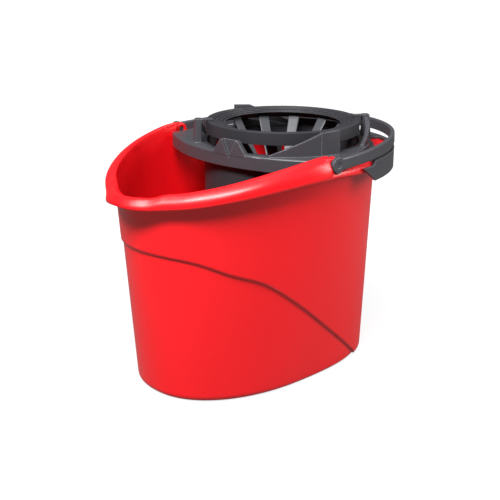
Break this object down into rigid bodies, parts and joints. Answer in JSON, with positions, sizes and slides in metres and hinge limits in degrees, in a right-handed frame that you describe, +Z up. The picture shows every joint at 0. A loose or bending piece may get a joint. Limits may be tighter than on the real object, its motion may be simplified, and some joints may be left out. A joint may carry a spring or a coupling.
{
  "type": "mop bucket with press wringer",
  "caption": "Oval tapered bucket with a rolled pouring rim, a hinged strap handle and a clip-on press wringer: a ring on helical ramps that turns and squeezes a cone of strips.",
  "frame": {"origin": "middle of the overall length and width, on the floor under the bucket", "axes": "+X towards the wringer end, +Y across the width, +Z up"},
  "size_m": [0.3708, 0.2782, 0.2883],
  "materials": {
    "red_polypropylene": "semi-gloss moulded",
    "dark_polypropylene": "satin moulded",
    "strip_polypropylene": "satin moulded"
  },
  "bodies": {
    "bucket": {"bucket_shell": "red_polypropylene", "wringer_frame": "dark_polypropylene", "drain_cup": "dark_polypropylene", "hub_pin": "dark_polypropylene"},
    "handle": {"bail_handle": "dark_polypropylene"},
    "basket": {"basket_hub": "dark_polypropylene", "strip_01": "strip_polypropylene", "strip_02": "strip_polypropylene", "strip_03": "strip_polypropylene", "strip_04": "strip_polypropylene", "strip_05": "strip_polypropylene", "strip_06": "strip_polypropylene", "strip_07": "strip_polypropylene", "strip_08": "strip_polypropylene", "strip_09": "strip_polypropylene", "strip_10": "strip_polypropylene", "strip_11": "strip_polypropylene", "strip_12": "strip_polypropylene"},
    "ring": {"press_ring": "dark_polypropylene"}
  },
  "joints": [
    {"name": "handle_swing", "type": "hinge", "parent": "bucket", "child": "handle", "pos_m": [0.0015, 0, 0.2617], "axis": [0, -1, 0], "range_deg": [0, 92]},
    {"name": "basket_turn", "type": "hinge", "parent": "bucket", "child": "basket", "pos_m": [0.0534, 0, 0.209], "axis": [0, 0, 1], "range_deg": [-30, 0]},
    {"name": "ring_press", "type": "slide", "parent": "basket", "child": "ring", "axis": [0, 0, -1], "range_m": [0, 0.0084], "stiffness_N_per_m": 2000, "springref_m": -0.003, "deforming": ["strip_01", "strip_02", "strip_03", "strip_04", "strip_05", "strip_06", "strip_07", "strip_08", "strip_09", "strip_10", "strip_11", "strip_12"]}
  ],
  "couplings": [
    {"joint": "basket_turn", "follows": "ring_press", "rad_per_m": -62.333}
  ]
}
